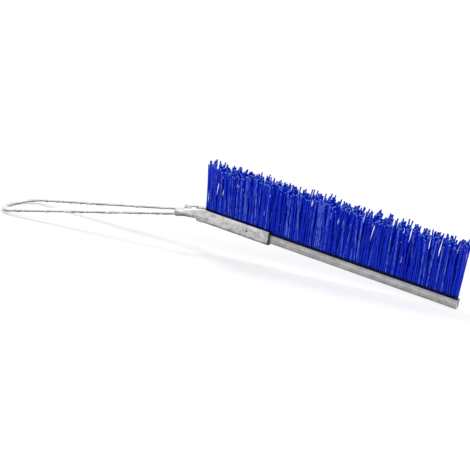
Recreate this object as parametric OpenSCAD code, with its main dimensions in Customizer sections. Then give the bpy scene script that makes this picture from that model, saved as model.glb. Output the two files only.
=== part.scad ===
// Hand brush: a row of stiff folded filaments in a steel strip channel, a folded holder that grips
// one end of the strip, and a long rod loop as the handle. Millimetres, +Z up.
// The brush lies on its back: the free tip of the strip and the far end of the loop touch the floor.

/* [Bristle strip] */
// Length of the U channel that carries the filaments
strip_l = 289; // [180:1:400]
// Outside width of the channel
channel_w = 7.8; // [7.6:0.1:10]
// Height of the channel from its back to its lips
channel_h = 10.3; // [9.5:0.1:14]
// Thickness of the channel's steel
channel_wall = 0.9; // [0.6:0.1:0.9]
// Outside radius of the channel's two back corners
channel_corner_r = 3.4; // [1.5:0.1:3.4]
// Diameter of the wire that the filaments are folded around
core_wire_d = 2.4; // [1.6:0.1:2.4]

/* [Filaments] */
// Diameter of one filament
filament_d = 1.4; // [0.8:0.1:1.4]
// Length of the filaments above the channel's lips
trim_l = 55; // [30:1:90]
// Distance from one folded filament to the next along the channel
filament_pitch = 1.6; // [1.6:0.05:3]
// Bare channel at each end of the filament row
bare_end = 1.2; // [1:0.1:10]
// How far the innermost filaments lean out from upright, in degrees
fan_inner_angle = 1.5; // [1:0.1:3]
// Further lean from one rank of filaments to the next, in degrees
fan_step_angle = 5; // [4.5:0.1:6]
// Lean of all the filaments towards the free tip, in degrees
set_angle = 2; // [0:0.5:5]
// How far the lean of one filament may differ from that, in degrees
lean_angle = 1; // [0:0.1:1]
// Largest difference of a filament's cut length from the trim
trim_scatter = 1.6; // [0:0.1:3]

/* [Holder] */
// Length of strip that sits in the holder
grip_l = 84; // [50:1:120]
// Thickness of the holder's side walls
holder_wall = 2; // [1.2:0.1:3]
// Thickness of the holder's floor under the strip
holder_floor = 2; // [1.2:0.1:3]
// Height of the side walls above the channel's lips
wall_rise = 3.2; // [1:0.1:6]
// Side clearance between the strip and each wall
strip_gap = 0.3; // [0.1:0.05:0.5]
// Radius of the holder's long lower corners
holder_corner_r = 4.5; // [3.2:0.1:4.5]
// Radius of the holder's lower corner at its mouth, seen from the side
mouth_r = 2.5; // [0.5:0.1:4]
// Length over which the walls open out at the mouth
lead_in_l = 4; // [1:0.5:10]
// How much wider the slot is on each side at the mouth
lead_in_w = 1; // [0.2:0.1:1]
// Distance from the end of the strip to the bend where the handle starts
neck_l = 17; // [16:1:30]
// Height of that bend above the strip's back
neck_h = 5.7; // [4:0.1:7]
// Wall of the curled ears that grip the rod
ear_wall = 1.3; // [1:0.1:2]
// Length of each ear beyond the bend
ear_l = 13; // [11:1:30]

/* [Loop handle] */
// Diameter of the rod
rod_d = 5.5; // [4:0.1:7]
// Length of the loop from the bend to its far end, on the rod's centre line
loop_l = 264; // [180:1:350]
// Widest distance between the rod's two sides, centre to centre
loop_w = 56; // [40:1:80]
// Distance between the two ears at the bend, centre to centre
ear_spacing = 18.5; // [16:0.5:24]
// Bend between the strip and the handle, in degrees
bend_angle = 15.4; // [8:0.1:22]
// Length of rod that reaches back inside the ears past the bend
rod_tail = 3; // [1:0.5:5]
// Clearance between the rod and the ears' bores
rod_gap = 0.15; // [0.05:0.05:0.3]

/* [Lock pin] */
// Outside diameter of the slotted cross pin
pin_d = 1.8; // [1.4:0.1:1.8]
// Wall of the rolled pin
pin_wall = 0.4; // [0.3:0.05:0.5]
// Distance from the holder's mouth to the pin
pin_inset = 27; // [15:1:60]

/* [Hidden] */
$fn = 48;
play = 0.12;                                   // running clearance between wire and filaments
seat_gap = 0.3;                                // between the fold of a filament and the channel floor
cut = 1;                                       // how far a cutting tool overshoots a face
pinch = 0.1;                                   // how much thinner a filament's radius is inside the channel
nest = 0.03;                                   // step in radius where one round bar ends inside another
lap = 1;                                       // how far one bar reaches into the next
kink_depth = 1;                                // the stems begin to lean this far below the channel's lips
bridge = 0.1;                                  // steel or air left between the core wire's play and the pin
shoulder_l = 1;                                // last stretch of strip, where the walls start to narrow

// --- Filament row ---
fold_r = core_wire_d / 2 + play + filament_d / 2;
wire_z = channel_wall + seat_gap + filament_d + play + core_wire_d / 2;
kink_z = channel_h - kink_depth;
row_l = strip_l - 2 * bare_end - filament_d;
hairpins = floor(row_l / filament_pitch) + 1;
row_start = (strip_l - (hairpins - 1) * filament_pitch) / 2;
bundles = round(hairpins / 10);
ranks = 3;

// --- Lock pin: it takes the place of one hairpin, and passes over the core wire ---
pin_index = round((strip_l - grip_l + pin_inset - row_start) / filament_pitch);
pin_s = row_start + pin_index * filament_pitch;
pin_z = wire_z + core_wire_d / 2 + play + bridge + pin_d / 2;

// --- Holder ---
slot_w = channel_w + 2 * strip_gap;
holder_w = slot_w + 2 * holder_wall;
slot_corner_r = min(channel_corner_r, holder_corner_r - max(holder_wall, holder_floor));
holder_top = channel_h + wall_rise;
mouth_s = strip_l - grip_l;
shoulder_s = strip_l - shoulder_l;
bore_r = rod_d / 2 + rod_gap;
ear_r = bore_r + ear_wall;

// --- Loop: a circle at the far end, and two straight sides tangent to it ---
end_r = loop_w / 2;
end_x = loop_l - end_r;
side_angle = asin(end_r / norm([end_x, ear_spacing / 2])) - atan2(ear_spacing / 2, end_x);
side_l = sqrt(pow(end_x, 2) + pow(ear_spacing / 2, 2) - pow(end_r, 2));

// --- Rest pose: the strip's tip and the loop's far end stand on one floor ---
neck_s = strip_l + neck_l;
far_s = neck_s + loop_l * cos(bend_angle);
far_h = neck_h - loop_l * sin(bend_angle);
strip_tilt = asin(rod_d / 2 / norm([far_s, far_h])) - atan2(far_h, far_s);
loop_reach = far_s * cos(strip_tilt) - far_h * sin(strip_tilt) + rod_d / 2;
bristle_reach = channel_h * sin(strip_tilt) + trim_l * sin(strip_tilt + set_angle) - row_start + filament_d / 2;
tip_x = (loop_reach - bristle_reach) / 2;

function bundle_name(k) = str("filaments_", k < 9 ? "0" : "", k + 1);

// Frame of the strip: X = 0 at its free tip, -X towards the handle, Z = 0 at its back.
module on_strip() {
    translate([tip_x, 0, 0]) rotate([0, strip_tilt, 0]) children();
}

// Frame of the handle: starts at the bend, -X along the middle of the loop.
module on_handle() {
    on_strip() translate([-neck_s, 0, neck_h]) rotate([0, -bend_angle, 0]) children();
}

// Frame of one side of the loop: X = 0 at the bend, -X along the rod. side = -1 near, 1 far.
module on_side(side) {
    on_handle() translate([0, side * ear_spacing / 2, 0]) rotate([0, 0, -side * side_angle]) children();
}

// A profile drawn in (Y, Z), drawn out along the strip from distance a to distance b.
module along_strip(a, b) {
    translate([-b, 0, 0]) rotate([90, 0, 90]) linear_extrude(b - a) children();
}

// A round bar along -X, from distance a to distance b.
module bar(r, a, b, sides = $fn) {
    translate([-b, 0, 0]) rotate([0, 90, 0]) cylinder(r = r, h = b - a, $fn = sides);
}

// A rectangle of height h standing on y = 0, with its two lower corners rounded.
module round_backed(w, h, r) {
    translate([-w / 2, r]) square([w, h - r]);
    translate([-w / 2 + r, 0]) square([w - 2 * r, r + 0.01]);
    for (side = [-1, 1]) translate([side * (w / 2 - r), r]) circle(r);
}

// The teardrop rod, with both ends inside the holder's ears.
module loop_handle() {
    color([0.82, 0.83, 0.84]) {
        for (side = [-1, 1]) on_side(side) bar(rod_d / 2 - nest, -rod_tail, side_l + lap);
        on_handle() translate([-end_x, 0, 0]) rotate([0, 0, 90 - side_angle])
            rotate_extrude(angle = 180 + 2 * side_angle) translate([end_r, 0]) circle(rod_d / 2);
    }
}

// U section of the channel, with rounded lips.
module channel_section() {
    lip_r = channel_wall / 2;
    difference() {
        round_backed(channel_w, channel_h - lip_r, channel_corner_r);
        translate([0, channel_wall])
            round_backed(channel_w - 2 * channel_wall, channel_h, channel_corner_r - channel_wall);
    }
    for (side = [-1, 1]) translate([side * (channel_w / 2 - lip_r), channel_h - lip_r]) circle(lip_r);
}

// The steel strip, with a cross hole for the lock pin.
module brush_channel() {
    color([0.72, 0.73, 0.74]) on_strip() difference() {
        along_strip(0, strip_l) channel_section();
        pin_hole();
    }
}

// The wire that runs through every fold.
module core_wire() {
    color([0.6, 0.6, 0.6]) on_strip() translate([0, 0, wire_z])
        bar(core_wire_d / 2, bare_end / 2, strip_l - bare_end / 2);
}

// Hole for the lock pin, through channel and holder alike.
module pin_hole() {
    translate([-pin_s, 0, pin_z]) rotate([90, 0, 0])
        cylinder(d = pin_d + play, h = holder_w + 2 * cut, center = true);
}

// The slotted pin, rolled from sheet, a little shorter than the holder is wide.
module lock_pin() {
    pin_l = holder_w - 2 * seat_gap;
    color([0.35, 0.35, 0.36]) on_strip() translate([-pin_s, 0, pin_z]) rotate([90, 0, 0]) difference() {
        cylinder(d = pin_d, h = pin_l, center = true);
        cylinder(d = pin_d - 2 * pin_wall, h = pin_l + 2 * cut, center = true);
        translate([-pin_wall / 2, 0, -pin_l / 2 - cut]) cube([pin_wall, pin_d, pin_l + 2 * cut]);
    }
}

// U section of the holder.
module holder_section() {
    translate([0, -holder_floor]) difference() {
        round_backed(holder_w, holder_floor + holder_top, holder_corner_r);
        translate([0, holder_floor]) round_backed(slot_w, holder_top + cut, slot_corner_r);
    }
}

// Side wall behind the strip: it narrows, flares out and wraps the rod. The ear starts inside its end.
module flared_wall(side) {
    sides = 32;
    root_z = holder_corner_r - holder_floor + nest;
    slab_w = holder_wall - 2 * nest;
    hull() {
        on_strip() translate([-strip_l, side * (slot_w + holder_wall) / 2 - slab_w / 2, root_z])
            cube([shoulder_l, slab_w, holder_top - nest - root_z]);
        on_side(side) bar((ear_r + nest) / cos(180 / sides), lap, 3 * lap, sides);
    }
}

// What is cut out of an ear: the bore, and the seam of the curl on its inner upper side. The curl is
// tight at the ear's end and opens towards the strip.
module ear_cut(side) {
    seam_angle = 35;
    tight = 0.3;
    wide = 1.1;
    on_side(side) {
        bar(bore_r, -rod_tail - play, ear_l + cut);
        rotate([-side * seam_angle, 0, 0]) mirror([0, side > 0 ? 1 : 0, 0]) translate([0, ear_r + cut, 0])
            rotate([90, 0, 0]) linear_extrude(ear_r + cut - bore_r / 2)
                polygon([[-ear_l - cut, -tight], [-ear_l - cut, tight], [-ear_l / 2, tight], [0, wide],
                         [rod_tail, wide], [neck_l / 2, 0], [rod_tail, -wide], [0, -wide], [-ear_l / 2, -tight]]);
    }
}

// The wedge by which the slot widens towards its mouth, above the rounded lower corners.
module lead_in() {
    inner_w = slot_w - 2 * lead_in_w;
    outer_w = slot_w + 2 * lead_in_w * (1 + cut / lead_in_l);
    translate([-mouth_s, 0, slot_corner_r / 2]) linear_extrude(holder_top + cut)
        polygon([[cut, -outer_w / 2], [cut, outer_w / 2],
                 [-2 * lead_in_l, inner_w / 2], [-2 * lead_in_l, -inner_w / 2]]);
}

// The rounded lower corner at the mouth, as the waste that is cut away.
module mouth_corner() {
    translate([-mouth_s - mouth_r, 0, mouth_r - holder_floor]) rotate([90, 0, 0])
        linear_extrude(holder_w + 2 * cut, center = true) difference() {
            translate([0, -mouth_r - cut]) square(mouth_r + cut);
            circle(mouth_r);
        }
}

// The floor behind the strip, ending in a rounded tongue between the two ears.
module floor_tongue() {
    tongue_l = neck_l / 3;
    translate([-shoulder_s - tongue_l, 0, -holder_floor]) linear_extrude(holder_floor) {
        translate([0, -slot_w / 2]) square([tongue_l, slot_w]);
        circle(slot_w / 2);
    }
}

// The folded shoe: U section on the strip, a floor tongue, two flared walls and two ears.
module holder() {
    color([0.75, 0.76, 0.77]) difference() {
        union() {
            on_strip() along_strip(mouth_s, strip_l) holder_section();
            on_strip() floor_tongue();
            for (side = [-1, 1]) {
                flared_wall(side);
                on_side(side) bar(ear_r, 2 * lap, ear_l);
            }
        }
        for (side = [-1, 1]) ear_cut(side);
        on_strip() pin_hole();
        on_strip() mouth_corner();
        on_strip() lead_in();
    }
}

// A value from -1 to 1 that changes from one filament to the next.
function scatter(i, turn, start) = sin(turn * i + start);

// One filament folded round the core wire: a fold, two stems pinched in the channel, and two legs that
// leave it leaning to the front and the back. The thinner stems end inside the fold and the legs.
module hairpin(i) {
    r = filament_d / 2;
    overlap = pinch + play;
    translate([-row_start - i * filament_pitch, 0, 0]) {
        translate([0, 0, wire_z]) rotate([90, 0, 90]) rotate([0, 0, 180])
            rotate_extrude(angle = 180, $fn = 24) translate([fold_r, 0]) circle(r);
        for (side = [-1, 1]) {
            rank = (i + (side + 1) / 2) % ranks;
            fan = fan_inner_angle + fan_step_angle * rank;
            lean = set_angle + lean_angle * scatter(i, 97, 50 * side);
            leg_l = trim_l + kink_depth + trim_scatter * scatter(i, 151, 70 * side);
            translate([0, side * fold_r, wire_z - overlap])
                cylinder(r = r - pinch, h = kink_z - wire_z + 2 * overlap, $fn = 24);
            translate([0, side * fold_r, kink_z]) rotate([-side * fan, lean, 0])
                cylinder(r = r, h = leg_l, $fn = 24);
        }
    }
}

// About ten neighbouring filaments.
module filament_bundle(k) {
    first = floor(k * hairpins / bundles);
    last = floor((k + 1) * hairpins / bundles) - 1;
    color([0.05, 0.08, 0.75]) on_strip() for (i = [first : last]) if (i != pin_index) hairpin(i);
}

loop_handle();
holder();
brush_channel();
core_wire();
lock_pin();
for (k = [0 : bundles - 1])
    filament_bundle(k);
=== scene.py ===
# %% [markdown]
# # A loop-handled hand brush
# The CAD model already holds the true sizes of this brush: a rod loop, a folded holder, a thin steel
# channel and the filaments folded round a wire. This lesson gives it its looks. The metal gets a
# galvanised coat with soft edges and small lumps, and the filaments are made again by Geometry Nodes, so
# that they can lean, curve and end unevenly as springy plastic does.

# %% Load the CAD model
import math

import bmesh
import bpy
from mathutils import Matrix, Vector


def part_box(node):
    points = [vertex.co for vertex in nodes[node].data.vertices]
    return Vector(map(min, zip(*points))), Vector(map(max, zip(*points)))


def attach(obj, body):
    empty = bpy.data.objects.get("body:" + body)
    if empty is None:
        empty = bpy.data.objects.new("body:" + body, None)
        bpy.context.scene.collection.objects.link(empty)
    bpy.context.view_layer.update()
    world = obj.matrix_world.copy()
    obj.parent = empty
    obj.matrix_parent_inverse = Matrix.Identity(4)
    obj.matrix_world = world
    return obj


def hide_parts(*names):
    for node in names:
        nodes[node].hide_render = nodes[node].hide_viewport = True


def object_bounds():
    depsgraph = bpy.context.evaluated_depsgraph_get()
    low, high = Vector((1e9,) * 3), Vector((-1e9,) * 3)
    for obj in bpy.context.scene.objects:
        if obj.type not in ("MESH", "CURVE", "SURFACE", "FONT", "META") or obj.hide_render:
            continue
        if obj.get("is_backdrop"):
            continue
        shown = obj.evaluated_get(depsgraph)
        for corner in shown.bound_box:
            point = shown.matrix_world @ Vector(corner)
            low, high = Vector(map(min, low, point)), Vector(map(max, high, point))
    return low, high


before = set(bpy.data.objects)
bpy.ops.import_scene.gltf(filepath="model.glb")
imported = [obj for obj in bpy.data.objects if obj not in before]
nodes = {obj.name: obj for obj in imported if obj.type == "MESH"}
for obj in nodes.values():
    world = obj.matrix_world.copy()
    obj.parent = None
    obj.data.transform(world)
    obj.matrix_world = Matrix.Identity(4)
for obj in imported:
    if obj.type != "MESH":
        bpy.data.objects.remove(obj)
cad_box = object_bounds()
print("CAD box in metres:", [round(value, 4) for corner in cad_box for value in corner])


def add_object(name, data):
    """A new object with this data, linked into the scene."""
    made = bpy.data.objects.new(name, data)
    bpy.context.scene.collection.objects.link(made)
    return made


# %% [markdown]
# ## The camera
# A camera can be placed by typing its position and rotation, but a photographer thinks of a point to aim
# at, an angle round it, a height and a distance. So the camera's three axes are worked out from those,
# and they become the columns of its matrix. A small roll tips the camera to one side.

# %% Camera
AIM = Vector((0.0323, 0.0, 0.0253))
AZIMUTH, ELEVATION, ROLL = 30.3, 17.4, 2.5
DISTANCE = 1.086
FOCAL_MM, SENSOR_MM = 78.6, 36.0


def camera_axes(azimuth, elevation, roll):
    """Right, up and back directions of a camera that looks at its aim from these angles, in degrees."""
    azimuth, elevation, roll = (math.radians(angle) for angle in (azimuth, elevation, roll))
    level = math.cos(elevation)
    back = Vector((math.sin(azimuth) * level, -math.cos(azimuth) * level, math.sin(elevation)))
    right = Vector((math.cos(azimuth), math.sin(azimuth), 0))
    up = back.cross(right)
    tipped_right = right * math.cos(roll) + up * math.sin(roll)
    tipped_up = up * math.cos(roll) - right * math.sin(roll)
    return tipped_right, tipped_up, back


right, up, back = camera_axes(AZIMUTH, ELEVATION, ROLL)
camera_data = bpy.data.cameras.new("camera")
camera_data.lens, camera_data.sensor_width = FOCAL_MM, SENSOR_MM
camera = add_object("camera", camera_data)
turned = Matrix((right, up, back)).transposed().to_4x4()
camera.matrix_world = Matrix.Translation(AIM + back * DISTANCE) @ turned
bpy.context.scene.camera = camera
print("camera stands at", [round(value, 3) for value in camera.location])

# %% [markdown]
# ## Where the strip lies
# The strip is tilted, so its CAD box is not aligned with it. A straight round wire in a box of width w
# and height h, with diameter d, has `w = l cos t + d sin t` and `h = l sin t + d cos t`. A few rounds of
# solving for the angle give the tilt, and the middle of the box is the middle of the wire. A point's dot
# product with the strip's direction then tells how far along it lies, which later places painted light
# and shade on the metal.

# %% Frame of the bristle strip
WIRE_D = 0.0024
SOLVING_ROUNDS = 6
wire_low, wire_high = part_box("core_wire")
wire_size = wire_high - wire_low
tilt = 0.0
for _ in range(SOLVING_ROUNDS):
    tilt = math.atan2(wire_size.z - WIRE_D * math.cos(tilt), wire_size.x - WIRE_D * math.sin(tilt))
wire_l = (wire_size.x - WIRE_D * math.sin(tilt)) / math.cos(tilt)
strip_place = Matrix.Translation((wire_low + wire_high) / 2) @ Matrix.Rotation(tilt, 4, "Y")
strip_along, strip_up = strip_place.col[0].xyz, strip_place.col[2].xyz


def farthest(node, direction):
    """How far a CAD node reaches in a direction."""
    return max(vertex.co.dot(direction) for vertex in nodes[node].data.vertices)


mouth = farthest("holder", strip_along)
ears_end = -farthest("holder", Vector((-1, 0, 0)))
strip_back = -farthest("brush_channel", -strip_up)
print("strip tilt", round(math.degrees(tilt), 2), "degrees, wire length", round(wire_l, 4), "m")
print("the holder's mouth lies", round(mouth, 4), "m along the strip")

# %% [markdown]
# ## Nodes written as sums
# Shader and geometry nodes can both be linked by hand, one socket at a time, but a formula is hard to
# read in that form. The small class below wraps a socket, so that `1 - mask * 0.5` adds the two Math
# nodes by itself. Every other node comes from one method, which takes the node's type, its settings and
# its inputs.


# %% Sockets as values, nodes from one method
class Value:
    """A node's output that can stand in a Python sum."""

    def __init__(self, graph, socket):
        self.graph, self.socket = graph, socket

    def math(self, operation, *others):
        return self.graph.math(operation, self, *others)

    def __add__(self, other):
        return self.math("ADD", other)

    def __sub__(self, other):
        return self.math("SUBTRACT", other)

    def __rsub__(self, other):
        return self.graph.math("SUBTRACT", other, self)

    def __mul__(self, other):
        return self.math("MULTIPLY", other)

    def __truediv__(self, other):
        return self.math("DIVIDE", other)

    def __rtruediv__(self, other):
        return self.graph.math("DIVIDE", other, self)

    def __pow__(self, other):
        return self.math("POWER", other)

    __radd__ = __add__
    __rmul__ = __mul__

    def output(self, name):
        """Another output of the same node."""
        return Value(self.graph, self.socket.node.outputs[name])


class Graph:
    """Adds nodes to one node tree."""

    def __init__(self, tree):
        self.tree = tree

    def node(self, kind, settings=None, inputs=None):
        made = self.tree.nodes.new(kind)
        for name, value in (settings or {}).items():
            setattr(made, name, value)
        for key, value in (inputs or {}).items():
            self.feed(made.inputs[key], value)
        return Value(self, made.outputs[0]) if made.outputs else made

    def feed(self, socket, value):
        if isinstance(value, Value):
            self.tree.links.new(value.socket, socket)
        else:
            socket.default_value = value

    def math(self, operation, *values):
        return self.node("ShaderNodeMath", {"operation": operation}, dict(enumerate(values)))

    def step(self, value, low, high):
        """0 below low, 1 above high, smooth between. With low above high it falls from 1 to 0 instead."""
        return self.node("ShaderNodeMapRange", {"interpolation_type": "SMOOTHSTEP"},
                         {"Value": value, "From Min": low, "From Max": high})

    def mix_colour(self, factor, first, second):
        """A Mix node has sockets for each type of data. Those for colours are found by their numbers."""
        made = self.node("ShaderNodeMix", {"data_type": "RGBA"})
        mixer = made.socket.node
        for key, value in ((0, factor), (6, first), (7, second)):
            self.feed(mixer.inputs[key], value)
        return Value(self, mixer.outputs[2])


print("node helpers ready")

# %% [markdown]
# ## Galvanised steel
# The rod, the holder and the channel are dipped in zinc. It sets as a pale grey skin with cloudy patches,
# fine grain and faint crystals. An image could show this, but a few noise textures at the right scales do
# it for any shape and from any side. They read the piece's own coordinates in metres, so the pattern
# keeps its size. The piece's own normal also paints light and shade: the upward side is kept pale as
# painted light, and the downward side is darkened in cloudy patches as painted shade.


# %% Helpers for materials
def new_material(name):
    """A material, a graph for its nodes, and its shader."""
    material = bpy.data.materials.new(name)
    material.use_nodes = True
    graph = Graph(material.node_tree)
    return material, graph, material.node_tree.nodes["Principled BSDF"]


def own_place(graph):
    """Where a point lies in the piece's own coordinates."""
    return graph.node("ShaderNodeTexCoord").output("Object")


def along(graph, direction, vector="Object"):
    """A point's or a normal's reach in a direction, in the piece's own coordinates."""
    measured = graph.node("ShaderNodeTexCoord").output(vector)
    return graph.node("ShaderNodeVectorMath", {"operation": "DOT_PRODUCT"},
                      {0: measured, 1: tuple(direction)}).output("Value")


def noise(graph, scale, detail=2.0, roughness=0.5, stretch=1.0):
    """Noise whose patches are stretched along X."""
    spot = graph.node("ShaderNodeMapping", {}, {"Vector": own_place(graph), "Scale": (1 / stretch, 1, 1)})
    return graph.node("ShaderNodeTexNoise", {}, {
        "Vector": spot, "Scale": scale, "Detail": detail, "Roughness": roughness})


def scaled(graph, colour, factor):
    """The colour made darker or brighter by a factor."""
    return graph.node("ShaderNodeVectorMath", {"operation": "SCALE"}, {0: colour, "Scale": factor})


print("material helpers ready")

# %% Galvanised material
# How many clouds, grains and crystals of zinc fit in a metre.
CLOUDS, GRAINS, CRYSTALS = 190.0, 900.0, 420.0


def galvanised(name, pale, dark, below, metallic, roughness, grain_depth, painted_shading=None):
    """Zinc coat: pale and dark are its two greys, below is the share of the colour that its downward side
    keeps as painted shade, and grain_depth is in metres. The last argument adds painted light and shade to
    the colour."""
    material, graph, skin = new_material(name)
    clouds = noise(graph, CLOUDS, detail=3.0, stretch=2.2)
    grain = noise(graph, GRAINS, detail=3.0, roughness=0.65)
    crystals = graph.node("ShaderNodeTexVoronoi", {}, {"Vector": own_place(graph), "Scale": CRYSTALS})
    facet = graph.node("ShaderNodeSeparateColor", {}, {0: crystals.output("Color")})

    # Painted light keeps the upper side at least half pale, and painted shade darkens the downward side in
    # cloudy patches.
    upward = along(graph, (0, 0, 1), "Normal")
    painted_top_light = graph.step(upward, 0.1, 0.8) * 0.5
    stain = graph.step(clouds * 0.5 + grain * 0.4 + facet * 0.1, 0.39, 0.61)
    coat = graph.mix_colour(stain.math("MAXIMUM", painted_top_light), dark, pale)
    painted_underside_shade = graph.step(upward + (clouds - 0.5) * 0.5, -0.05, -0.5)
    colour = graph.mix_colour(painted_underside_shade, coat, scaled(graph, coat, below))
    graph.feed(skin.inputs["Base Color"], painted_shading(graph, colour) if painted_shading else colour)

    graph.feed(skin.inputs["Roughness"], roughness + (facet - 0.5) * 0.12 + (grain - 0.5) * 0.25)
    skin.inputs["Metallic"].default_value = metallic
    bump = graph.node("ShaderNodeBump", {}, {
        "Strength": 0.6, "Distance": grain_depth, "Height": grain * 0.6 + clouds * 0.4})
    graph.feed(skin.inputs["Normal"], bump)
    return material


# below sets how dark the painted shade on each downward side is.
rod_zinc = galvanised("zinc_on_rod", pale=(0.94, 0.94, 0.95, 1), dark=(0.86, 0.86, 0.87, 1),
                      below=0.16, metallic=0.55, roughness=0.36, grain_depth=0.0002)
print("zinc material:", rod_zinc.name)

# %% [markdown]
# ## Painted light and shade on the sheet metal
# The holder gets bands of painted shadow at its mouth and at the ends of its ears, and painted shade low
# down, most of all on its neck. The channel is rolled from strip, and it gets a painted highlight along
# each side; its inside and its cut end are painted bright as painted light. All these marks lie at set
# places on the piece, so they are steps in its own coordinates and need no image.

# %% Painted shade on the holder
# Each pair says where a painted shade begins and where it is full, in metres. The shade on the neck and
# the painted shadow at the mouth are measured back from the mouth, the low shade up from the strip's
# back, the shadow at the ears' edge from the ears' ends.
NECK_FROM, NECK_FULL = 0.080, 0.092
MOUTH_SHADOW_FROM, MOUTH_SHADOW_FULL = 0.0019, 0.0012
LOW_SHADE_FROM, LOW_SHADE_FULL = 0.0066, 0.0042
EAR_SHADOW_FROM, EAR_SHADOW_FULL = 0.0011, 0.0005
SHADOW_BLACK = (0.02, 0.02, 0.022, 1)


def holder_shade(graph, colour):
    """Painted shade low on the holder, most on its neck, and bands of painted shadow at its mouth and at
    the ends of its ears.
    """
    # Painted shade: darker low on the holder, and darker still on its neck.
    low_shade = graph.step(along(graph, strip_up) - strip_back, LOW_SHADE_FROM, LOW_SHADE_FULL)
    neck_shade = graph.step(along(graph, strip_along), mouth - NECK_FROM, mouth - NECK_FULL)
    side = graph.mix_colour(low_shade, colour, scaled(graph, colour, 0.88 - neck_shade * 0.38))
    # Painted shadow: a near-black band at the mouth and at the ends of the ears.
    mouth_shadow = graph.step(along(graph, strip_along), mouth - MOUTH_SHADOW_FROM, mouth - MOUTH_SHADOW_FULL)
    ear_shadow = graph.step(along(graph, (1, 0, 0)), ears_end + EAR_SHADOW_FROM, ears_end + EAR_SHADOW_FULL)
    return graph.mix_colour(mouth_shadow.math("MAXIMUM", ear_shadow * 0.8), side, SHADOW_BLACK)


shoe_zinc = galvanised("zinc_on_holder", pale=(0.85, 0.85, 0.83, 1), dark=(0.47, 0.47, 0.46, 1),
                       below=0.4, metallic=0.4, roughness=0.42, grain_depth=0.00025, painted_shading=holder_shade)
print("zinc material:", shoe_zinc.name)

# %% Painted light on the channel
# The painted highlight's lower and upper edge, each from where it begins to where it is full, above the
# strip's back, and half the width of the channel's inside, which is painted bright.
HIGHLIGHT_LOW = (0.005, 0.0066)
HIGHLIGHT_HIGH = (0.0092, 0.0076)
INSIDE = (0.0034, 0.0032)
PAINTED_LIGHT_GREY = (0.95, 0.95, 0.93, 1)


def channel_light(graph, colour):
    """A painted highlight along the channel's side. Its inside and its cut end are painted bright, as
    painted light.
    """
    height = along(graph, strip_up) - strip_back
    # Painted highlight: a brighter band along the channel's side.
    line = graph.step(height, *HIGHLIGHT_LOW) * graph.step(height, *HIGHLIGHT_HIGH)
    highlighted = graph.mix_colour(line, colour, scaled(graph, colour, 1.3))
    # Painted light: the channel's inside and its cut end are near white.
    inside = graph.step(along(graph, (0, 1, 0)).math("ABSOLUTE"), *INSIDE)
    cut_end = graph.step(along(graph, strip_along, "Normal"), 0.8, 0.9)
    return graph.mix_colour(cut_end.math("MAXIMUM", inside), highlighted, PAINTED_LIGHT_GREY)


channel_zinc = galvanised("zinc_on_channel", pale=(0.5, 0.5, 0.48, 1), dark=(0.35, 0.35, 0.335, 1),
                          below=0.45, metallic=0.4, roughness=0.42, grain_depth=0.0002, painted_shading=channel_light)
print("zinc material:", channel_zinc.name)

# %% [markdown]
# ## Plain drawn wire and dark pin steel
# The core wire is drawn bright, so its marks run along it. Only its end shows, in the open tip of the
# channel. The cross pin is dark from oil and oxide. Both are small, so one function with a stretched
# noise is enough.


# %% Wire and pin material
# Marks in a metre, along X and across it.
DRAWN_MARKS = (60.0, 2500.0, 2500.0)


def drawn_steel(name, colour, roughness):
    """Steel with fine lengthwise marks that darken its colour a little."""
    material, graph, skin = new_material(name)
    stretched = graph.node("ShaderNodeMapping", {}, {"Vector": own_place(graph), "Scale": DRAWN_MARKS})
    marks = graph.node("ShaderNodeTexNoise", {}, {"Vector": stretched, "Scale": 1.0, "Detail": 2.0})
    shade = graph.mix_colour(marks, tuple(c * 0.7 for c in colour) + (1,), tuple(colour) + (1,))
    graph.feed(skin.inputs["Base Color"], shade)
    graph.feed(skin.inputs["Roughness"], roughness + (marks - 0.5) * 0.2)
    skin.inputs["Metallic"].default_value = 0.9
    return material


wire_steel = drawn_steel("drawn_wire", colour=(0.55, 0.55, 0.56), roughness=0.35)
pin_steel = drawn_steel("dark_pin", colour=(0.05, 0.05, 0.055), roughness=0.5)
print("small steel materials:", wire_steel.name, pin_steel.name)

# %% [markdown]
# ## Blue filament
# Each filament is solid blue plastic with a smooth drawn surface, so it shows a thin streak of light
# along its side, and on some filaments a painted highlight adds pale streaks. No two are alike: an
# attribute on every filament shifts its tone and picks those that get the painted highlight, and another
# tells how far along it a point lies. The root is darkened with painted shade, in the channel's lips and
# behind the holder's higher wall. The end below the pale cut is darker, most of all where a filament
# stands out above its neighbours.

# %% Filament material
# Where the painted shade at the root ends and is full, and where the darker end and the cut begin and are
# full, as shares of a filament's free length. Behind the holder's wall the painted shade reaches a little
# farther up.
ROOT_SHADE_ENDS, ROOT_SHADE_FULL, ROOT_SHADE_BEHIND_WALL = 0.095, 0.065, 0.035
TIP_DARK_FROM, TIP_DARK_FULL = 0.92, 0.98
CUT_FROM, CUT_FULL = 0.99, 0.998
# Heights above the strip's back, in metres, between which a filament's tip stands out of the row.
PROUD_FROM, PROUD_FULL = 0.0642, 0.067
# The length over which the holder's wall ends at its mouth.
MOUTH_BLUR = 0.0004
DEEP_BLUE, BRIGHT_BLUE = (0.0, 0.005, 0.68, 1), (0.004, 0.062, 1.0, 1)
GLINT_BLUE, CUT_BLUE, DARK_BLUE = (0.17, 0.28, 1.0, 1), (0.14, 0.32, 1.0, 1), (0.0, 0.002, 0.08, 1)

filament_blue, graph, skin = new_material("blue_filament")
tone = graph.node("ShaderNodeAttribute", {"attribute_name": "tone"}).output("Fac")
reach = graph.node("ShaderNodeAttribute", {"attribute_name": "reach"}).output("Fac")
drawn_out = graph.node("ShaderNodeMapping", {}, {"Vector": own_place(graph), "Scale": (1.0, 1.0, 0.08)})
streaks = graph.node("ShaderNodeTexNoise", {}, {"Vector": drawn_out, "Scale": 700.0, "Detail": 2.0})

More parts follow.
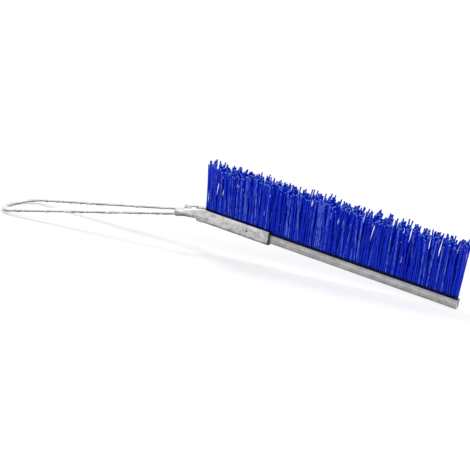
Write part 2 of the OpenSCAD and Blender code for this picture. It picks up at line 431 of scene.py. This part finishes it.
body_blue = graph.mix_colour(tone * 0.7 + streaks * 0.3, DEEP_BLUE, BRIGHT_BLUE)
# Painted highlight: pale streaks on some filaments, picked by their tone.
painted_glint = graph.step(tone, 0.66, 0.93) * graph.step(streaks, 0.4, 0.55)
body_blue = graph.mix_colour(painted_glint * 0.8, body_blue, GLINT_BLUE)

in_holder = graph.step(along(graph, strip_along), mouth + MOUTH_BLUR, mouth)
# Painted shade at the root, in the channel's lips and behind the holder's wall.
root = graph.step(reach - in_holder * ROOT_SHADE_BEHIND_WALL, ROOT_SHADE_ENDS, ROOT_SHADE_FULL)
# The end of each filament is darker, and more so where it stands out of the row.
darker_tip = graph.step(reach, TIP_DARK_FROM, TIP_DARK_FULL)
proud = graph.step(along(graph, strip_up) - strip_back, PROUD_FROM, PROUD_FULL)
dark_share = root.math("MAXIMUM", darker_tip * 0.3).math("MAXIMUM", proud * 0.7)
dark_ends = graph.mix_colour(dark_share, body_blue, DARK_BLUE)
cut_tip = graph.step(reach, CUT_FROM, CUT_FULL)
graph.feed(skin.inputs["Base Color"], graph.mix_colour(cut_tip * 0.8, dark_ends, CUT_BLUE))
graph.feed(skin.inputs["Roughness"], 0.27 + cut_tip * 0.3 + (streaks - 0.5) * 0.15)
skin.inputs["Specular IOR Level"].default_value = 0.35
skin.inputs["Specular Tint"].default_value = (0.35, 0.5, 1.0, 1)
print("filament material:", filament_blue.name)

# %% [markdown]
# ## The filaments, as one Geometry Nodes tree
# A filament is one piece of plastic folded round the core wire. Modelling some hundreds by hand is
# hopeless, and a particle system can't make the fold. So the tree sets out straight polylines along the
# wire, one for each filament, and moves their points by a formula: round the wire, straight up out of the
# channel, then leaning out to the front or the back. Random values are drawn once for each leg, so both
# halves of a filament differ.


# %% Helpers for Geometry Nodes
def new_tree(name, sockets):
    """A geometry tree with one geometry input and output, and these named inputs with their defaults."""
    tree = bpy.data.node_groups.new(name, "GeometryNodeTree")
    tree.interface.new_socket("Geometry", in_out="INPUT", socket_type="NodeSocketGeometry")
    tree.interface.new_socket("Geometry", in_out="OUTPUT", socket_type="NodeSocketGeometry")
    for label, (kind, default) in sockets.items():
        made = tree.interface.new_socket(label, in_out="INPUT", socket_type="NodeSocket" + kind)
        if default is not None:
            made.default_value = default
    graph = Graph(tree)
    start = graph.node("NodeGroupInput").socket.node
    given = {socket.name: Value(graph, socket) for socket in start.outputs if socket.name}
    return tree, graph, given


def finish_tree(graph, geometry, material):
    """Ends a tree in Realize Instances and Set Material."""
    real = graph.node("GeometryNodeRealizeInstances", {}, {"Geometry": geometry})
    dressed = graph.node("GeometryNodeSetMaterial", {}, {"Geometry": real, "Material": material})
    graph.node("NodeGroupOutput", {}, {"Geometry": dressed})


def plain_copy(carrier, name):
    """The evaluated carrier as a plain mesh object. The carrier and its modifiers are removed."""
    seen = carrier.evaluated_get(bpy.context.evaluated_depsgraph_get())
    mesh = bpy.data.meshes.new_from_object(seen)
    mesh.name = name
    bpy.data.objects.remove(carrier)
    return add_object(name, mesh)


def apply_tree(name, mesh, tree, values):
    """Runs the tree on the mesh with the given input values, and returns the result as a plain object."""
    carrier = add_object(name + "_carrier", mesh)
    modifier = carrier.modifiers.new("tree", "NODES")
    modifier.node_group = tree
    given = [item for item in tree.interface.items_tree if item.in_out == "INPUT"]
    identifiers = {item.name: item.identifier for item in given}
    for label, value in values.items():
        modifier[identifiers[label]] = value
    return plain_copy(carrier, name)


print("geometry helpers ready")

# %% Straight lines along the wire
# Each filament has this many points, from one tip over the fold to the other, and a round section of this
# many sides.
POINTS = 27
SIDES = 6


def laid_lines(graph, count, pitch):
    """One straight polyline for each filament, at its place along the wire."""
    first = graph.node("ShaderNodeCombineXYZ", {}, {"X": pitch * (count - 1) * -0.5})
    offset = graph.node("ShaderNodeCombineXYZ", {}, {"X": pitch})
    row = graph.node("GeometryNodeMeshLine", {}, {
        "Count": count, "Start Location": first, "Offset": offset})
    line = graph.node("GeometryNodeCurvePrimitiveLine")
    blank = graph.node("GeometryNodeResampleCurve", {}, {"Curve": line, "Count": POINTS})
    laid = graph.node("GeometryNodeInstanceOnPoints", {}, {"Points": row, "Instance": blank})
    return graph.node("GeometryNodeRealizeInstances", {}, {"Geometry": laid})


def place_on_filament(graph):
    """Which filament a point belongs to, and its place on it: 0 at the fold, -1 and 1 at the two tips."""
    index = graph.node("GeometryNodeInputIndex")
    which = graph.math("FLOOR", index / POINTS)
    return which, (index - which * POINTS) / ((POINTS - 1) / 2) - 1


def chance_for(graph, leg, seed):
    """A function that draws one random number for each leg. The offset tells one draw from another."""
    def chance(low, high, offset):
        made = graph.node("FunctionNodeRandomValue", {"data_type": "FLOAT"})
        random = made.socket.node
        for key, value in ((2, low), (3, high), (7, leg), (8, seed + offset)):
            graph.feed(random.inputs[key], value)
        return Value(graph, random.outputs[1])

    return chance


print("a filament has", POINTS, "points and", SIDES, "sides")

# %% Tubes along the bent lines
# Edges sharper than this angle, in radians, stay crisp. Only the rims of the cut ends are.
RIM_ANGLE = 1.3


def tubes(graph, curves, diameter):
    """Round, smooth and closed tubes along the curves."""
    section = graph.node("GeometryNodeCurvePrimitiveCircle", {}, {
        "Resolution": SIDES, "Radius": diameter * 0.5})
    round_tubes = graph.node("GeometryNodeCurveToMesh", {}, {
        "Curve": curves, "Profile Curve": section, "Fill Caps": True})
    smooth = graph.node("GeometryNodeSetShadeSmooth", {}, {"Geometry": round_tubes})
    rim = graph.math("GREATER_THAN", graph.node("GeometryNodeInputMeshEdgeAngle"), RIM_ANGLE)
    return graph.node("GeometryNodeSetShadeSmooth", {"domain": "EDGE"},
                  {"Geometry": smooth, "Selection": rim, "Shade Smooth": False})


print("tubes keep a crisp rim above", RIM_ANGLE, "radians")

# %% [markdown]
# ## The formula that bends a filament
# Going up one leg from the fold, a point is first on a quarter of a circle round the wire, then on the
# stem in the channel, then on the free part. The free part leans out in one of three ranks, leans a
# little along the strip, and bends more towards its tip. Neighbours that bend the same way make small
# clumps, which come from a slow noise along the row. Both ends of the row are calmer, since nothing
# pushes the filaments there.

# %% The filament tree
RANKS = 3
# How far the clump noise moves on from one filament to the next, and its distance from front to back.
CLUMP_STEP, CLUMP_SIDES = 0.16, 40
# What is left of the fan at both ends of the row, and of the lean, which is the other way there.
END_FAN, END_LEAN = 0.35, -0.5
# The point in the middle of the fold has no side of its own, so this nudge gives it one.
FOLD_NUDGE = 1e-4


def filament_tree():
    """The row of folded filaments. Its inputs are lengths in metres and angles in radians."""
    tree, graph, given = new_tree("filament_row", {
        "Filaments": ("Int", 180), "Pitch": ("Float", 0.0016), "Diameter": ("Float", 0.0014),
        "Fold Radius": ("Float", 0.002), "Exit Height": ("Float", 0.006), "Exit Step": ("Float", 0.0007),
        "Trim": ("Float", 0.055), "Trim Scatter": ("Float", 0.002), "End Rise": ("Float", 0.0),
        "Longest": ("Float", 0.06), "Fan Inner": ("Float", 0.03), "Fan Step": ("Float", 0.08),
        "Fan Scatter": ("Float", 0.03), "Set": ("Float", 0.03), "Lean": ("Float", 0.03),
        "Curl": ("Float", 0.002), "Calm Ends": ("Int", 12), "Seed": ("Int", 7),
        "Material": ("Material", None)})
    count, pitch = given["Filaments"], given["Pitch"]
    radius, exit_height = given["Fold Radius"], given["Exit Height"]
    which, place = place_on_filament(graph)
    side = graph.math("SIGN", place + FOLD_NUDGE)
    second_leg = graph.math("GREATER_THAN", place, 0.0)
    chance = chance_for(graph, which * 2 + second_leg, given["Seed"])

    # The length of a leg. Most end close to the trim, and a few stand proud.
    cut = given["Trim"] + given["Trim Scatter"] * (chance(-0.45, 0.45, 1) + chance(0.0, 1.0, 2) ** 4.0)
    cut = cut + given["End Rise"] * graph.math("MAXIMUM", 1 - which / given["Calm Ends"], 0.0)
    cut = graph.math("MINIMUM", cut, given["Longest"])

    # How far a point has come round the wire, up the stem and along the free part. Points lie closest
    # together at the fold.
    quarter = radius * (math.pi / 2)
    distance = graph.math("ABSOLUTE", place) ** 2.0 * (quarter + (exit_height + cut))
    turn = graph.math("MINIMUM", distance, quarter) / radius
    beyond = graph.math("MAXIMUM", distance - quarter, 0.0)
    stem = graph.math("MINIMUM", beyond, exit_height)
    free = beyond - stem

    # How the free part leans and bends. calm is 0 at both ends of the row, and 1 over most of it.
    calm = graph.math("MINIMUM", graph.math("MINIMUM", which, count - 1 - which) / given["Calm Ends"], 1.0)
    rank = graph.math("MODULO", which + second_leg, float(RANKS))
    fan = given["Fan Inner"] + given["Fan Step"] * rank * (calm * (1 - END_FAN) + END_FAN)
    fan = fan + given["Fan Scatter"] * chance(-1.0, 1.0, 3)
    noise_place = which * CLUMP_STEP + side * CLUMP_SIDES
    clump = graph.node("ShaderNodeTexNoise", {"noise_dimensions": "1D"}, {"W": noise_place, "Scale": 1.0})
    lean = given["Set"] * (calm * (1 - END_LEAN) + END_LEAN)
    lean = lean + given["Lean"] * calm * chance(-1.0, 1.0, 4) * chance(0.2, 1.0, 8)
    bend = given["Curl"] * (free / given["Trim"]) ** 2.0

    # The point's place. The inner ranks leave the channel a little nearer to its middle.
    x = free * lean + bend * calm * (chance(-0.6, 0.6, 5) + (clump - 0.5) * 3)
    spread = (rank - (RANKS - 1)) * given["Exit Step"] * (stem / exit_height)
    out = graph.math("SINE", turn) * radius + spread + free * graph.math("SINE", fan)
    y = side * out + bend * chance(-1.0, 1.0, 6)
    z = stem - graph.math("COSINE", turn) * radius + free * graph.math("COSINE", fan)
    row_x = pitch * (which - (count - 1) * 0.5)
    spot = graph.node("ShaderNodeCombineXYZ", {}, {"X": x + row_x, "Y": y, "Z": z})
    lines = laid_lines(graph, count, pitch)
    shaped = graph.node("GeometryNodeSetPosition", {}, {"Geometry": lines, "Position": spot})
    for label, value in (("reach", free / cut), ("tone", chance(0.0, 1.0, 7))):
        shaped = graph.node("GeometryNodeStoreNamedAttribute", {"data_type": "FLOAT", "domain": "POINT"},
                        {"Geometry": shaped, "Name": label, "Value": value})
    finish_tree(graph, tubes(graph, shaped, given["Diameter"]), given["Material"])
    return tree


filament_row = filament_tree()
print("the filament tree has", len(filament_row.nodes), "nodes")

# %% Make the filaments
FILAMENTS = 400
END_GAP = 0.0015
row_l = wire_l - END_GAP * 2
filaments = apply_tree("filaments", bpy.data.meshes.new("empty"), filament_row, {
    "Filaments": FILAMENTS, "Pitch": row_l / (FILAMENTS - 1), "Diameter": 0.00155, "Fold Radius": 0.00202,
    "Exit Height": 0.0054, "Exit Step": 0.0007, "Trim": 0.0545, "Trim Scatter": 0.0046, "End Rise": 0.0045,
    "Longest": 0.059, "Fan Inner": 0.026, "Fan Step": 0.0875, "Fan Scatter": 0.03, "Set": 0.035,
    "Lean": 0.12, "Curl": 0.0025, "Calm Ends": 12, "Seed": 11, "Material": filament_blue})
filaments.data.transform(strip_place)
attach(filaments, "root")
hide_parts(*[name for name in nodes if name.startswith("filaments_")])
print("filaments:", len(filaments.data.polygons), "faces")

# %% [markdown]
# ## The zinc coat as a shape
# Hot zinc rounds every edge and leaves small lumps and runs, most of all on the rod. A bevel would round
# the edges, but the holder's walls and ears meet in ways that a bevel handles badly. A voxel remesh of a
# copy rounds them all at once, and a short Geometry Nodes tree then lifts the skin with noise. Nothing
# may sink below the floor that the loop rests on, so the tree holds the lowest points up.


# %% The coat's tree
def texture_noise(graph, position, size, detail):
    """Noise with patches of about this size, in metres."""
    return graph.node("ShaderNodeTexNoise", {}, {
        "Vector": position, "Scale": 1.0 / size, "Detail": detail})


def coat_tree():
    """Lumps all over a mesh and drips on its downward side, none of them below the floor."""
    tree, graph, given = new_tree("zinc_coat", {
        "Lump Height": ("Float", 0.0003), "Lump Size": ("Float", 0.006), "Drip Height": ("Float", 0.0),
        "Drip Size": ("Float", 0.006), "Floor": ("Float", 0.0), "Material": ("Material", None)})
    position = graph.node("GeometryNodeInputPosition")
    normal = graph.node("GeometryNodeInputNormal")
    broad = texture_noise(graph, position, given["Lump Size"], 1.5)
    beads = texture_noise(graph, position, given["Drip Size"], 0.0)
    below = graph.step(graph.node("ShaderNodeSeparateXYZ", {}, {0: normal}).output("Z"), -0.3, -0.9)
    drip = graph.step(beads, 0.52, 0.68) * below * given["Drip Height"]
    lift = (broad - 0.5) * given["Lump Height"] * 2 + drip
    offset = graph.node("ShaderNodeVectorMath", {"operation": "SCALE"}, {0: normal, "Scale": lift})
    lumpy = graph.node("GeometryNodeSetPosition", {}, {"Geometry": given["Geometry"], "Offset": offset})

    apart = graph.node("ShaderNodeSeparateXYZ", {}, {0: position})
    above_floor = apart.output("Z").math("MAXIMUM", given["Floor"])
    held_up = graph.node("ShaderNodeCombineXYZ", {}, {
        "X": apart.output("X"), "Y": apart.output("Y"), "Z": above_floor})
    raised = graph.node("GeometryNodeSetPosition", {}, {"Geometry": lumpy, "Position": held_up})
    smooth = graph.node("GeometryNodeSetShadeSmooth", {}, {"Geometry": raised})
    finish_tree(graph, smooth, given["Material"])
    return tree


zinc_coat = coat_tree()
print("the coat tree has", len(zinc_coat.nodes), "nodes")

# %% Coat a copy of a CAD node
SAME_POINT = 1e-6
RELAX_SHARE, RELAX_ROUNDS = 0.5, 3


def soft_copy(name, source, voxel):
    """A copy of a CAD node with its loose triangles joined and all its edges rounded by a voxel remesh."""
    mesh = nodes[source].data.copy()
    work = bmesh.new()
    work.from_mesh(mesh)
    bmesh.ops.remove_doubles(work, verts=work.verts, dist=SAME_POINT)
    work.to_mesh(mesh)
    work.free()
    carrier = add_object(name + "_carrier", mesh)
    remesh = carrier.modifiers.new("voxels", "REMESH")
    remesh.mode, remesh.voxel_size = "VOXEL", voxel
    relax = carrier.modifiers.new("relax", "SMOOTH")
    relax.factor, relax.iterations = RELAX_SHARE, RELAX_ROUNDS
    return plain_copy(carrier, name + "_soft")


def coated(name, source, voxel, coat):
    """A softened and coated copy of a CAD node, as a piece that replaces it."""
    soft = soft_copy(name, source, voxel)
    piece = apply_tree(name, soft.data, zinc_coat, coat)
    bpy.data.objects.remove(soft)
    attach(piece, "root")
    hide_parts(source)
    print(name, "has", len(piece.data.polygons), "faces")
    return piece


rod = coated("coated_rod", "loop_handle", voxel=0.00055, coat={
    "Lump Height": 0.0002, "Lump Size": 0.0045, "Drip Height": 0.0005, "Drip Size": 0.005, "Floor": 0.0,
    "Material": rod_zinc})
shoe = coated("coated_holder", "holder", voxel=0.0004, coat={
    "Lump Height": 0.00012, "Lump Size": 0.006, "Drip Height": 0.0, "Drip Size": 0.005, "Floor": 0.0,
    "Material": shoe_zinc})

# %% [markdown]
# ## Pieces that keep their CAD shape
# The channel, the core wire and the lock pin are already true in shape: rolled sheet and drawn wire have
# crisp, even surfaces. They only need their materials, which go into the slots of the CAD objects.

# %% Dress the CAD pieces
CAD_FINISHES = {"brush_channel": channel_zinc, "core_wire": wire_steel, "lock_pin": pin_steel}
for name, material in CAD_FINISHES.items():
    mesh = nodes[name].data
    mesh.materials.clear()
    mesh.materials.append(material)
    print(name, "wears", material.name)

# %% [markdown]
# ## Floor, light and background
# The brush lies on a pale sweep under one soft lamp, hung over its loop side and a little behind, so each
# rod throws a faint shadow close to it. Two wide lamps at the sides and the sky give the rest of the
# light. To make the floor read as pure white without lighting the brush harder, the floor adds light of
# its own, but only for rays that come from the camera or from shiny surfaces. The lamp's light fades with
# the distance from the point under it, by `1 / (1 + (r / h)^2)^2` for a lamp at height h, and the floor's
# own light grows by as much. The shadow still shows, because it darkens what is underneath.

# %% Floor
FLOOR_SIZE = 8.0
LAMP_FOOT, LAMP_HEIGHT = (-0.32, 0.25, 0.0), 0.9
FLOOR_GLOW, LAMP_GLOW = 0.373, 0.365


def square_mesh(name, size):
    """A flat square round the origin."""
    half = size / 2
    corners = [(-half, -half, 0), (half, -half, 0), (half, half, 0), (-half, half, 0)]
    mesh = bpy.data.meshes.new(name)
    mesh.from_pydata(corners, [], [(0, 1, 2, 3)])
    return mesh


def seen_directly(graph):
    """1 for rays from the camera, or mirrored or bent on their way to it."""
    path = graph.node("ShaderNodeLightPath")
    seen = path.output("Is Camera Ray")
    for ray in ("Is Glossy Ray", "Is Transmission Ray"):
        seen = seen.math("MAXIMUM", path.output(ray))
    return seen


floor_paint, graph, skin = new_material("white_sweep")
cloud = noise(graph, 2.0)
paint = graph.mix_colour(cloud, (0.59, 0.59, 0.59, 1), (0.61, 0.61, 0.61, 1))
graph.feed(skin.inputs["Base Color"], paint)
skin.inputs["Roughness"].default_value = 0.9
skin.inputs["Specular IOR Level"].default_value = 0.0
skin.inputs["Emission Strength"].default_value = 1.0
from_foot = graph.node("ShaderNodeVectorMath", {"operation": "DISTANCE"},
                       {0: own_place(graph), 1: LAMP_FOOT}).output("Value")
faded = 1 - 1 / ((from_foot / LAMP_HEIGHT) ** 2.0 + 1) ** 2.0
glow = seen_directly(graph) * (faded * LAMP_GLOW + FLOOR_GLOW)
white_glow = graph.node("ShaderNodeCombineColor", {}, {0: glow, 1: glow, 2: glow})
graph.feed(skin.inputs["Emission Color"], white_glow)
floor = add_object("floor", square_mesh("floor", FLOOR_SIZE))
floor.data.materials.append(floor_paint)
floor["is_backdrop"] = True
print("floor laid,", FLOOR_SIZE, "m wide")

# %% Sky and lamps
SKY_LIGHT = 0.45
world = bpy.data.worlds.new("sky")
world.use_nodes = True
bpy.context.scene.world = world
graph = Graph(world.node_tree)
sky = world.node_tree.nodes["Background"]
sky.inputs["Color"].default_value = (1, 1, 1, 1)
graph.feed(sky.inputs["Strength"], seen_directly(graph) * (1 - SKY_LIGHT) + SKY_LIGHT)


def lamp(name, hangs_at, aim, size, watts):
    """A round lamp that faces its aim."""
    data = bpy.data.lights.new(name, "AREA")
    data.shape, data.size, data.energy = "DISK", size, watts
    made = add_object(name, data)
    made.location = hangs_at
    made.rotation_euler = (Vector(aim) - Vector(hangs_at)).to_track_quat("-Z", "Y").to_euler()


lamp("top_lamp", (LAMP_FOOT[0], LAMP_FOOT[1], LAMP_HEIGHT), aim=LAMP_FOOT, size=0.38, watts=4.0)
for name, hangs_at in (("left_fill", (-1.2, -1.0, 1.0)), ("right_fill", (1.4, -0.5, 1.0))):
    lamp(name, hangs_at, aim=(0, 0, 0), size=0.9, watts=6.5)
print("sky at", SKY_LIGHT, "one lamp overhead and a wide one on each side")

# %% [markdown]
# ## Plain display of colours
# A film-like view would bend the colours, so the Standard view is used, with every other view setting
# left as it is. The two boxes are printed in millimetres, so that the dressed brush can be set beside its
# CAD model.

# %% Finish
bpy.context.scene.view_settings.view_transform = "Standard"
visual_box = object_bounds()
sizes = {"cad": [list(corner) for corner in cad_box], "visual": [list(corner) for corner in visual_box]}
for label, corners in sizes.items():
    print(label, [round(value * 1000, 1) for corner in corners for value in corner])
